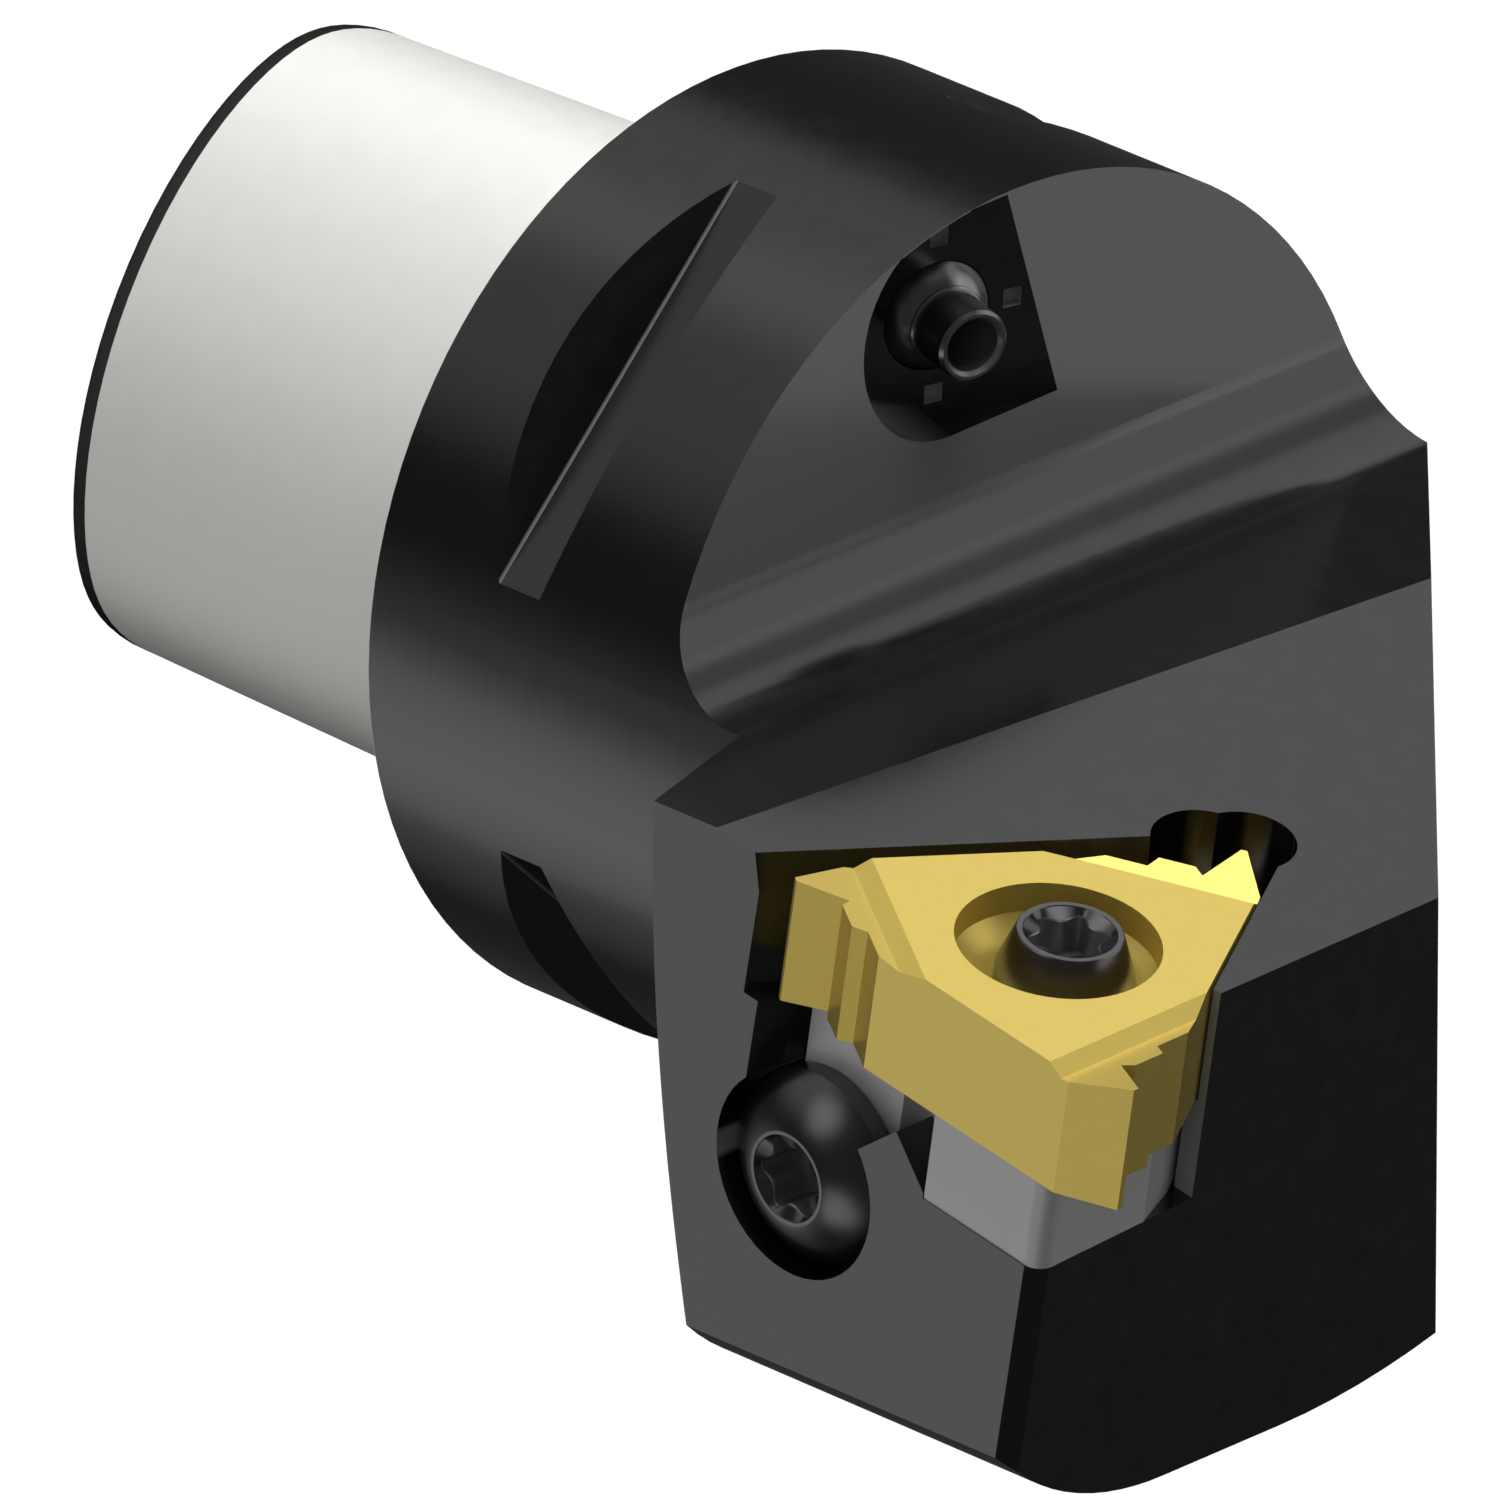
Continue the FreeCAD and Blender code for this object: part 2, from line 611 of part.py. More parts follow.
def insert():
    low = seat(level=-size("insert_thickness"))
    flat = triangle("insert_sides", "insert", "inscribed_radius", "Sizes.insert_thickness", low)
    ends = triangle("insert_ends", "strip", "strip_along", "Sizes.insert_thickness",
                    seat(level=-size("insert_thickness"), turn=-30))
    corners = [insert_corner(index) for index in range(3)]
    body = fuse("insert_body", [common("insert_core", [flat, ends])] + corners)
    hole = cylinder("insert_hole", "Sizes.insert_hole_radius", "Sizes.insert_thickness", low)
    counterbore = cylinder("insert_counterbore", "Sizes.seat_radius", "Sizes.seat_radius",
                           seat(level=-size("seat_depth")))
    funnel = cone("insert_funnel", "Sizes.insert_hole_radius", "Sizes.seat_radius", "Sizes.seat_cone",
                  seat(level=-size("seat_depth") - size("seat_cone")))
    return cut("threading_insert", body, [hole, counterbore, funnel])


def lobed_socket(name, top):
    """A six-lobe drive socket sunk from a place on the screw's top face."""
    floor = beside(top, out=-size("socket_depth"))
    lobes = [cylinder(name + "_core", "Sizes.socket_core", "Sizes.far", floor)]
    for index in range(6):
        turned = beside(floor, rotation=Rotation(Vector(0, 0, 1), 60 * index))
        where = beside(turned, across=size("socket_radius") - size("lobe_radius"))
        lobes.append(cylinder("%s_lobe_%d" % (name, index), "Sizes.lobe_radius", "Sizes.far", where))
    return fuse(name, lobes)


def insert_screw():
    top = seat(size("screw_along"), size("screw_aside"), size("screw_stand"))
    head = size("screw_head_height")
    flare = size("screw_flare")
    shank = head + size("screw_cone")
    length = size("screw_length")
    pieces = [
        cone("screw_flare_cone", "Sizes.screw_head_radius", "Sizes.screw_top_radius", "Sizes.screw_flare",
             beside(top, out=-flare)),
        cylinder("screw_head", "Sizes.screw_head_radius", "Sizes.screw_head_height - Sizes.screw_flare",
                 beside(top, out=-head)),
        cone("screw_seat_cone", "Sizes.screw_thread_radius", "Sizes.screw_head_radius", "Sizes.screw_cone",
             beside(top, out=-shank)),
        cylinder("screw_shank", "Sizes.screw_thread_radius",
                 "Sizes.screw_length - Sizes.screw_point - Sizes.screw_head_height - Sizes.screw_cone",
                 beside(top, out=size("screw_point") - length)),
        cone("screw_tip", "Sizes.screw_thread_radius - Sizes.screw_point", "Sizes.screw_thread_radius",
             "Sizes.screw_point", beside(top, out=-length)),
    ]
    solid = fuse("insert_screw_solid", pieces)
    return cut("insert_screw", solid, [lobed_socket("insert_screw_socket", top)])


def shim_screw():
    seated = side_place(size("side_seat"))
    flank = cylinder("side_head", "Sizes.side_head_radius", "Sizes.side_head_height", seated)
    centre = beside(seated, out=size("side_head_flank") - size("dome_drop"))
    dome = ball("side_dome", "Sizes.dome_radius", centre)
    shank = cylinder("side_shank", "Sizes.side_thread_radius", "Sizes.side_screw_length",
                     beside(seated, out=-size("side_screw_length")))
    solid = fuse("shim_screw_solid", [common("side_head_domed", [flank, dome]), shank])
    top = beside(seated, out=size("side_head_height"))
    return cut("shim_screw", solid, [lobed_socket("shim_screw_socket", top)])


def coolant_nozzle():
    drop = size("ball_drop")
    tube = cylinder("nozzle_tube", "Sizes.nozzle_tube_radius", "Sizes.nozzle_tube_length + Sizes.ball_drop",
                    nozzle_place(-drop))
    collar = cone("nozzle_collar", "Sizes.nozzle_collar_radius", "Sizes.nozzle_tube_radius",
                  "Sizes.nozzle_collar_height", nozzle_place(size("collar_level")))
    sphere = ball("nozzle_ball", "Sizes.nozzle_ball_radius", nozzle_place(-drop))
    solid = fuse("nozzle_solid", [sphere, collar, tube])
    bore = cylinder("nozzle_bore", "Sizes.nozzle_bore_radius", "Sizes.far",
                    nozzle_place(-drop - size("nozzle_ball_radius") * 2))
    return cut("coolant_nozzle", solid, [bore])


nodes = {
    "head_body": head_body(),
    "carbide_shim": shim(),
    "threading_insert": insert(),
    "insert_screw": insert_screw(),
    "shim_screw": shim_screw(),
    "coolant_nozzle": coolant_nozzle(),
}
for name, node in nodes.items():
    node.Label = name
doc.recompute()

for item in doc.Objects:
    if "Invalid" in item.State or "Error" in item.State:
        raise RuntimeError("%s did not build: %s" % (item.Name, item.State))
os.makedirs("parts", exist_ok=True)
for name, node in nodes.items():
    if node.Shape.isNull() or not node.Shape.isValid():
        raise RuntimeError("%s has no valid shape" % name)
    print(name, "solids", len(node.Shape.Solids), "volume %.1f" % node.Shape.Volume)
    node.Shape.exportStep("parts/%s.step" % name)
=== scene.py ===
# A black threading head with a ground taper shank, a gold insert on a shim and a swivel coolant nozzle.
# +X is the shank's axis towards the cutting end and +Z is up. The frame is in metres. Sizes of the
# pieces made here are in millimetres and are multiplied by MM where their points are placed.
import math

import bmesh
import bpy
from mathutils import Euler, Matrix, Vector


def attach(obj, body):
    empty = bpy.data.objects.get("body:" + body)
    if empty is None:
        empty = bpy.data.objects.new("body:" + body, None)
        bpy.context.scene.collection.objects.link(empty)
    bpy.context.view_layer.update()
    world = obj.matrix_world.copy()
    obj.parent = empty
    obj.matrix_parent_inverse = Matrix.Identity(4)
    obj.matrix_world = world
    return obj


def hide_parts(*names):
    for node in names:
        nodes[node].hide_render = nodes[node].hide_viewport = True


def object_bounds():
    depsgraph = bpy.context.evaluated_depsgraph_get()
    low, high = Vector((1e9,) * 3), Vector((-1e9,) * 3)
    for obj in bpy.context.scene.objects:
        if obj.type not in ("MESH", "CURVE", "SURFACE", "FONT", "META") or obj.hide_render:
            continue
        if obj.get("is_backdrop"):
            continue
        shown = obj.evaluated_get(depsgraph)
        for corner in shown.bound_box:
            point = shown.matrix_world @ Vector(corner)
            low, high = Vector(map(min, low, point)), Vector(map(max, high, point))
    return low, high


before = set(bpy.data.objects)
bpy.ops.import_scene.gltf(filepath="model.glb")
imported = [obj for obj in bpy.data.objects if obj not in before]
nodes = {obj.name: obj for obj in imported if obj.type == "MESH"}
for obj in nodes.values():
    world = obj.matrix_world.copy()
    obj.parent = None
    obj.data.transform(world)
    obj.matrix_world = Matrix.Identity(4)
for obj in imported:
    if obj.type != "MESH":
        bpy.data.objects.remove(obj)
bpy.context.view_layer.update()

MM = 0.001

# camera: very long lens, aimed at the middle of the photograph
CAMERA_AZIMUTH = -44.39
CAMERA_ELEVATION = 24.58
CAMERA_ROLL = -0.25
LOOK_AT = Vector((3.257, -1.960, -8.087)) * MM
VIEW_WIDTH = 60.05 * MM
LENS = 1200.0
SENSOR = 36.0

# places on the head that its finish follows, in metres
CONTACT_FACE_X = 0.02 * MM
LEAD_IN_X = -23.2 * MM
STAKED_NEAREST = 2.95 * MM
STAKED_FARTHEST = 4.3 * MM
STAKED_SUNK = -0.03 * MM

# the insert's seat, and the places of the turned pieces on their axes, Z outwards
TILTED = Euler((math.radians(0.9), 0, 0)).to_matrix() @ Euler((0, math.radians(10.5), 0)).to_matrix()
SEAT = Vector((39.995, -21.027, 1.730))
INSERT_SCREW = Matrix.Translation((SEAT + TILTED @ Vector((0.15, 0.45, 0.35))) * MM) @ TILTED.to_4x4()
SIDEWAYS = Euler((math.radians(90), 0, 0)).to_matrix()
SHIM_SCREW = Matrix.Translation(Vector((30.45, -26.69, -9.86)) * MM) @ SIDEWAYS.to_4x4()
FACING = Euler((0, 0, math.radians(-14.4))).to_matrix() @ Euler((0, math.radians(94.2), 0)).to_matrix()
NOZZLE = Matrix.Translation(Vector((15.3, -3.3, 15.2)) * MM) @ FACING.to_4x4()

# turned pieces: points round a ring, and the six-lobe socket's mean radius and lobe height
SEGMENTS = 144
SOCKET_MEAN = 1.42
SOCKET_LOBE = 0.25
TURNED_SHARP = 15.0

# the nozzle: its ball, the edge that holds it, its bore and its tube
BALL = 2.7
BALL_EDGE = 2.36
BORE = 1.15
TUBE_FOOT = 1.68

# the flange, its front face and the slot for the nozzle
FLANGE_RADIUS = 20.0
FLANGE_FRONT = 16.4
SLOT_RADIUS = 4.7
LIP_THICKNESS = 0.06

# the grip notches: the corner between wall and floor, and the fillet's reach along both
NOTCH_CORNER_X = 6.6
NOTCH_FLOOR = 17.65
NOTCH_LEAN = math.radians(32)
FILLET_REACH = 0.09

# the pocket's wall beside the insert: distances from the seat's centre, in the insert's plane,
# of the walls as they are cut and as they are shown, and levels under the insert's top
WALL_DIRECTION = math.radians(30)
WALL_FRONT = 6.04
WALL_END_ASIDE = 3.1
CUT_WALL = 7.26
CUT_BACK = 7.67
WALL_TOP = -0.319
WALL_BESIDE_INSERT = 6.42
WALL_BESIDE_SHIM = 5.9
SHIM_LEVEL = -5.61
FLOOR_LEVEL = -10.1
FLOOR_LEAN = math.tan(math.radians(2.5))
RELIEF_HOLE = Vector((-1.29, 11.65))
RELIEF_RADIUS = 2.1

# Soft boxes: azimuth, elevation, half width, soft edge and strength.
# The first set is what polished faces mirror, the second is the light on matt faces.
MIRRORED = {
    "right": (46, 0, 31, 16, 0.74),
    "right_top": (55, 38, 12, 16, 0.4),
    "front_left": (-102, 33, 12, 16, 0.9),
    "front_low": (-84, -37, 14, 14, 0.75),
    "glint": (137, 61, 5, 8, 3.0),
    "top": (108, 52, 24, 12, 0.64),
    "top_back": (158, 54, 18, 22, 0.42),
    "top_left": (-150, 46, 22, 26, 0.32),
    "low_left": (-145, -30, 11, 20, 0.62),
    "low_left_wide": (-145, -30, 24, 24, 0.27),
}
MIRRORED_BASE = 0.045
MATT = {
    "key": (90, 84, 18, 24, 7.8),
    "side_left": (-125, -8, 24, 20, 0.9),
    "side_right": (-50, 14, 24, 20, 0.9),
}
MATT_BASE = 0.05

# the floor: how far below the head it lies and how far it reaches, in metres
FLOOR_DROP = 45 * MM
FLOOR_REACH = 3.0


def colour(red, green=None, blue=None):
    """A colour from display values of 0 to 255."""
    green = red if green is None else green
    blue = red if blue is None else blue
    values = [value / 255 for value in (red, green, blue)]
    linear = [v / 12.92 if v <= 0.04045 else ((v + 0.055) / 1.055) ** 2.4 for v in values]
    return (*linear, 1.0)


def grey(value, cool=0.0):
    """A linear grey, with a little more blue where it is cool."""
    return (value, value, value + cool, 1.0)


# Finishes: two tones between which the colour wanders, the scale of that mottling, metallic,
# roughness, and the scale and strength of the tool marks.
FINISHES = {
    "gold_coating": (colour(226, 199, 98), colour(231, 205, 105), 1600, 0.6, 0.3, (900, 900, 900), 0.06),
    "ground_carbide": (colour(206), colour(212), 1200, 0.45, 0.5, (150, 150, 2400), 0.10),
    "black_screw": (grey(0.13, 0.005), grey(0.16, 0.005), 1500, 1.0, 0.26, None, 0.0),
    # painted light: a lighter grey for screw sockets and the nozzle's bore, where the recess lies in shade,
    # and a painted highlight on the notch fillets
    "painted_light_steel": (grey(0.22, 0.01), grey(0.30, 0.01), 2500, 0.8, 0.32, None, 0.0),
    "turned_nozzle": (grey(0.25), grey(0.29), 1800, 1.0, 0.22, None, 0.0),
    # painted shade: the near-black lead-in stands in for the shade on the shank's rear chamfer
    "lead_in_painted_shade": (grey(0.010), grey(0.016), 1500, 0.6, 0.4, None, 0.0),
    # painted light: a lighter, matt grey for the pocket wall's end facet, so it reads lit where the insert
    # shades it
    "painted_lit_end": (grey(0.24), grey(0.28), 1500, 0.1, 0.6, None, 0.0),
}


def direction(azimuth, elevation):
    """The unit vector at an azimuth and an elevation in degrees."""
    a = math.radians(azimuth)
    e = math.radians(elevation)
    return Vector((math.cos(a) * math.cos(e), math.sin(a) * math.cos(e), math.sin(e)))


class Nodes:
    """A node tree with short calls for the nodes that the finishes share."""

    def __init__(self, tree):
        self.tree = tree

    def add(self, kind, **values):
        """A node with some of its own settings or its unlinked sockets set by name."""
        node = self.tree.nodes.new(kind)
        for name, value in values.items():
            if hasattr(node, name):
                setattr(node, name, value)
            else:
                self.feed(node.inputs[name], value)
        return node

    def feed(self, socket, value):
        """Link a socket to another one, or set it to a plain value."""
        if isinstance(value, bpy.types.NodeSocket):
            self.tree.links.new(value, socket)
        else:
            socket.default_value = value

    def math(self, operation, first, second):
        """The result of an operation on two values or sockets."""
        node = self.tree.nodes.new("ShaderNodeMath")
        node.operation = operation
        self.feed(node.inputs[0], first)
        self.feed(node.inputs[1], second)
        return node.outputs[0]

    def ramp(self, value, start, end, low=0.0, high=1.0, smooth=True):
        """A value carried from one range to another, held at both ends."""
        node = self.tree.nodes.new("ShaderNodeMapRange")
        node.interpolation_type = "SMOOTHSTEP" if smooth else "LINEAR"
        self.feed(node.inputs["Value"], value)
        node.inputs["From Min"].default_value = start
        node.inputs["From Max"].default_value = end
        node.inputs["To Min"].default_value = low
        node.inputs["To Max"].default_value = high
        return node.outputs["Result"]

    def blend(self, factor, first, second):
        """A colour between two."""
        node = self.tree.nodes.new("ShaderNodeMix")
        node.data_type = "RGBA"
        self.feed(node.inputs["Factor"], factor)
        self.feed(node.inputs["A"], first)
        self.feed(node.inputs["B"], second)
        return node.outputs["Result"]

    def vector(self, operation, first, second=None):
        """The output sockets of a vector operation on one or two vectors."""
        node = self.add("ShaderNodeVectorMath", operation=operation)
        self.feed(node.inputs[0], first)
        if second is not None:
            self.feed(node.inputs[1], second)
        return node.outputs


def box_light(n, view, soft_boxes, base):
    """The brightness of a set of soft boxes in the direction of a ray."""
    level = base
    for azimuth, elevation, half_width, edge, strength in soft_boxes.values():
        towards = n.vector("DOT_PRODUCT", view, direction(azimuth, elevation))["Value"]
        outer = math.cos(math.radians(half_width + edge / 2))
        inner = math.cos(math.radians(max(half_width - edge / 2, 0)))
        level = n.math("ADD", level, n.ramp(towards, outer, inner, 0.0, strength))
    return level


def studio():
    """White round the object for the camera, a soft sky for diffuse light and soft boxes for reflections."""
    world = bpy.data.worlds.new("studio")
    bpy.context.scene.world = world
    world.use_nodes = True
    tree = world.node_tree
    tree.nodes.clear()
    n = Nodes(tree)
    view = n.add("ShaderNodeTexCoord").outputs["Generated"]
    mirrored = box_light(n, view, MIRRORED, MIRRORED_BASE)
    matt = box_light(n, view, MATT, MATT_BASE)
    rays = n.add("ShaderNodeLightPath")
    boxes = n.add("ShaderNodeBackground", Strength=mirrored)
    diffuse = n.add("ShaderNodeBackground", Strength=matt)
    white = n.add("ShaderNodeBackground", Strength=1.0)
    for background in (boxes, diffuse, white):
        background.inputs["Color"].default_value = (1, 1, 1, 1)
    lit = n.add("ShaderNodeMixShader")
    n.feed(lit.inputs["Fac"], rays.outputs["Is Glossy Ray"])
    n.feed(lit.inputs[1], diffuse.outputs[0])
    n.feed(lit.inputs[2], boxes.outputs[0])
    seen = n.add("ShaderNodeMixShader")
    n.feed(seen.inputs["Fac"], rays.outputs["Is Camera Ray"])
    n.feed(seen.inputs[1], lit.outputs[0])
    n.feed(seen.inputs[2], white.outputs[0])
    output = n.add("ShaderNodeOutputWorld")
    n.feed(output.inputs["Surface"], seen.outputs[0])


def new_material(name):
    """A material with a surface shader joined to its output."""
    material = bpy.data.materials.new(name)
    material.use_nodes = True
    tree = material.node_tree
    tree.nodes.clear()
    n = Nodes(tree)
    surface = n.add("ShaderNodeBsdfPrincipled")
    output = n.add("ShaderNodeOutputMaterial")
    tree.links.new(surface.outputs[0], output.inputs["Surface"])
    return material, n, surface


def floor():
    """A pale floor below the head, which it doesn't touch, and which is clear when seen from below."""
    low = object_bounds()[0].z
    mesh = bpy.data.meshes.new("floor")
    reach = FLOOR_REACH
    corners = [(-reach, -reach, 0), (reach, -reach, 0), (reach, reach, 0), (-reach, reach, 0)]
    mesh.from_pydata(corners, [], [(0, 1, 2, 3)])
    plane = bpy.data.objects.new("floor", mesh)
    plane.location.z = low - FLOOR_DROP
    plane.visible_glossy = False
    plane.visible_diffuse = False
    bpy.context.scene.collection.objects.link(plane)
    material, n, surface = new_material("floor_white")
    surface.inputs["Base Color"].default_value = (0.95, 0.95, 0.95, 1)
    surface.inputs["Roughness"].default_value = 1.0
    surface.inputs["Specular IOR Level"].default_value = 0.0
    shape = n.add("ShaderNodeNewGeometry")
    clear = n.add("ShaderNodeBsdfTransparent")
    seen = n.add("ShaderNodeMixShader")
    n.feed(seen.inputs["Fac"], shape.outputs["Backfacing"])
    n.feed(seen.inputs[1], surface.outputs[0])
    n.feed(seen.inputs[2], clear.outputs[0])
    output = next(node for node in material.node_tree.nodes if node.type == "OUTPUT_MATERIAL")
    n.feed(output.inputs["Surface"], seen.outputs[0])
    mesh.materials.append(material)
    plane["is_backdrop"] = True


def noise(n, place, scale, detail=3.0):
    """Soft noise at a place."""
    node = n.add("ShaderNodeTexNoise", Scale=scale, Detail=detail)
    n.feed(node.inputs["Vector"], place)
    return node.outputs["Fac"]


def fine_lines(n, surface, place, scale, strength):
    """Shallow tool marks, close together along the axis that has the largest scale."""
    stretched = n.add("ShaderNodeMapping", Scale=scale)
    n.feed(stretched.inputs["Vector"], place)
    marks = noise(n, stretched.outputs["Vector"], 1.0, 2.0)
    bump = n.add("ShaderNodeBump", Strength=strength, Distance=0.02 * MM)
    n.feed(bump.inputs["Height"], marks)
    n.feed(surface.inputs["Normal"], bump.outputs["Normal"])


def finish(name):
    """One of the plain finishes."""
    first, second, scale, metallic, roughness, marks, depth = FINISHES[name]
    material, n, surface = new_material(name)
    place = n.add("ShaderNodeTexCoord").outputs["Object"]
    n.feed(surface.inputs["Base Color"], n.blend(noise(n, place, scale), first, second))
    surface.inputs["Metallic"].default_value = metallic
    surface.inputs["Roughness"].default_value = roughness
    if marks:
        fine_lines(n, surface, place, marks, depth)
    return material


def black_oxide():
    """Blackened steel, lighter where it is staked, with a bright ground shank, and with painted light on the
    faces that face the cutting end: a lighter, matt grey.
    """
    material, n, surface = new_material("black_oxide")
    coordinates = n.add("ShaderNodeTexCoord")
    place = coordinates.outputs["Object"]
    mottle = noise(n, place, 900)

    along = n.add("ShaderNodeSeparateXYZ", Vector=place).outputs["X"]
    behind_face = n.math("LESS_THAN", along, CONTACT_FACE_X)
    before_lead_in = n.math("GREATER_THAN", along, LEAD_IN_X)
    on_shank = n.math("MULTIPLY", behind_face, before_lead_in)

    # painted light: faces that face the cutting end are painted a lighter, matt grey for the light they
    # catch
    facing = n.add("ShaderNodeSeparateXYZ", Vector=coordinates.outputs["Normal"]).outputs["X"]
    painted_front_light = n.ramp(facing, 0.985, 0.997)

    from_nozzle = n.vector("SUBTRACT", place, NOZZLE.translation)["Vector"]
    outwards = n.vector("DOT_PRODUCT", from_nozzle, FACING.col[2])["Value"]
    distance = n.vector("LENGTH", from_nozzle)["Value"]
    round_ball = n.math("GREATER_THAN", distance, STAKED_NEAREST)
    in_slot = n.math("LESS_THAN", distance, STAKED_FARTHEST)
    sunk = n.math("LESS_THAN", outwards, STAKED_SUNK)
    staked = n.math("MULTIPLY", sunk, n.math("MULTIPLY", round_ball, in_slot))

    black = n.blend(mottle, grey(0.090), grey(0.100))
    black = n.blend(painted_front_light, black, grey(0.185))
    black = n.blend(staked, black, grey(0.38))
    bright = n.blend(mottle, (0.90, 0.90, 0.86, 1), (0.94, 0.94, 0.90, 1))
    n.feed(surface.inputs["Base Color"], n.blend(on_shank, black, bright))

    # painted light: the faces that face the cutting end lose most of their metallic sheen
    of_painted_front_light = n.ramp(painted_front_light, 0, 1, 0.97, 0.05, False)
    of_staked = n.ramp(staked, 0, 1, 1.0, 0.6, False)
    of_shank = n.ramp(on_shank, 0, 1, 1.0, 0.25, False)
    off_shank = n.math("MULTIPLY", of_painted_front_light, of_staked)
    n.feed(surface.inputs["Metallic"], n.math("MULTIPLY", off_shank, of_shank))
    uneven = n.ramp(mottle, 0.3, 0.7, 0.0, 0.03)
    n.feed(surface.inputs["Roughness"], n.math("ADD", uneven, n.ramp(on_shank, 0, 1, 0.16, 0.45, False)))
    fine_lines(n, surface, place, (2600, 60, 60), 0.12)
    return material


def solid_mesh(name, verts, faces, inner=0, join=True):
    """A mesh with its normals outwards, whose first faces may take the second of its materials."""
    mesh = bpy.data.meshes.new(name)
    mesh.from_pydata(verts, [], faces)
    mesh.polygons.foreach_set("material_index", [int(face < inner) for face in range(len(faces))])
    bm = bmesh.new()
    bm.from_mesh(mesh)
    if join:
        bmesh.ops.remove_doubles(bm, verts=bm.verts, dist=1e-8)
    bmesh.ops.triangulate(bm, faces=[face for face in bm.faces if len(face.verts) > 4])
    bmesh.ops.recalc_face_normals(bm, faces=bm.faces)
    bm.to_mesh(mesh)
    bm.free()
    return mesh


def add_piece(name, mesh, body, materials, sharp=None):
    """A piece that rides on a body, smooth apart from its edges over the sharp angle."""
    mesh.polygons.foreach_set("use_smooth", [True] * len(mesh.polygons))
    if sharp is not None:
        mesh.set_sharp_from_angle(angle=math.radians(sharp))
    for material in materials:
        mesh.materials.append(material)
    piece = bpy.data.objects.new(name, mesh)
    bpy.context.scene.collection.objects.link(piece)
    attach(piece, body)
    return piece


def turned(name, place, loops, body, node, materials, inner):
    """A turned piece that stands for a CAD node. Its rings start and end on its axis, or meet again."""
    verts = []
    faces = []
    for loop in loops:
        verts += [place @ (loop(turn) * MM) for turn in range(SEGMENTS)]
    for level in range(len(loops) - 1):
        for turn in range(SEGMENTS):
            following = (turn + 1) % SEGMENTS
            low, high = level * SEGMENTS, (level + 1) * SEGMENTS
            faces.append((low + turn, high + turn, high + following, low + following))
    mesh = solid_mesh(name, verts, faces, inner * SEGMENTS)
    piece = add_piece(name, mesh, body, materials, TURNED_SHARP)
    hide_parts(node)


def ring(radius, height, lobes=0.0, pitch=0.0, depth=0.0):
    """A ring of points: plain, with six lobes, or one slice of a screw thread."""
    def point(turn):
        angle = 2 * math.pi * turn / SEGMENTS
        r = radius + lobes * (math.cos(6 * angle) + 0.12 * math.cos(12 * angle))
        if pitch:
            phase = (height / pitch - angle / (2 * math.pi)) % 1.0
            rise = abs(2 * phase - 1)
            r -= depth * (1 - min(max(rise * 1.45 - 0.2, 0.0), 1.0))
        return Vector((r * math.cos(angle), r * math.sin(angle), height))
    return point


def thread(radius, top, bottom, pitch):
    """Rings of a thread between two heights, which fades in and out."""
    steps = int((top - bottom) / pitch * 12)
    rings = []
    for step in range(steps + 1):
        height = top + (bottom - top) * step / steps
        fade = min(1.0, (top - height) / pitch, (height - bottom) / pitch * 2)
        rings.append(ring(radius, height, pitch=pitch, depth=0.6 * pitch * max(fade, 0.0)))
    return rings


def socket_rings(rim):
    """The six-lobe socket, from its floor up to the rim of its countersink."""
    floor_rings = [ring(0.0, -2.05), ring(0.9, -1.9), ring(SOCKET_MEAN, -1.88, SOCKET_LOBE)]
    mouth = [ring(SOCKET_MEAN, -0.34, SOCKET_LOBE), ring(SOCKET_MEAN + 0.05, -0.28, SOCKET_LOBE * 0.9)]
    return floor_rings + mouth + [ring(rim - 0.03, -0.04), ring(rim, 0.0)]


def insert_screw_rings():
    """A conical head that stands in the insert's hole, a shoulder and a threaded stem."""
    head = [ring(2.12, 0.0), ring(2.17, -0.06), ring(2.80, -1.80), ring(2.80, -2.45)]
    head += [ring(2.0, -3.25), ring(2.0, -5.0)]
    tip = [ring(1.9, -17.2), ring(1.6, -17.5), ring(0.0, -17.5)]
    return socket_rings(1.90) + head + thread(2.0, -5.0, -17.0, 0.7) + tip


def shim_screw_rings():
    """A domed head with a flat round its socket, and a threaded stem."""
    dome_centre, dome_radius, dome_depth, steps = -5.12, 5.507, 1.5, 12
    dome = []
    for step in range(1, steps + 1):
        height = -dome_depth * step / steps
        dome.append(ring(math.sqrt(dome_radius ** 2 - (height - dome_centre) ** 2), height))
    head = [ring(1.98, 0.0), ring(2.05, -0.02)] + dome
    head += [ring(4.15, -2.23), ring(4.05, -2.33), ring(2.5, -2.33), ring(2.5, -4.3)]
    tip = [ring(2.4, -15.0), ring(2.1, -15.33), ring(0.0, -15.33)]
    return socket_rings(1.84) + head + thread(2.5, -4.3, -14.8, 0.8) + tip


def nozzle_rings():
    """The bore from its mouth down, the ball from below up, and the tube from its foot to its end."""
    drop = math.sqrt(BALL ** 2 - BALL_EDGE ** 2)
    lowest = math.asin(BORE / BALL)
    highest = math.pi - math.asin(TUBE_FOOT / BALL)
    rings = [ring(1.30, 3.0), ring(BORE, 2.84), ring(BORE, -drop - BALL * math.cos(lowest))]
    steps = 40
    for step in range(steps + 1):
        around = lowest + (highest - lowest) * step / steps
        rings.append(ring(BALL * math.sin(around), -drop - BALL * math.cos(around)))
    foot = [ring(1.70, 0.83), ring(1.70, 0.90), ring(1.62, 0.98), ring(1.55, 0.99)]
    end = [ring(1.55, 2.86), ring(1.42, 3.0), ring(1.30, 3.0)]
    return rings + foot + end


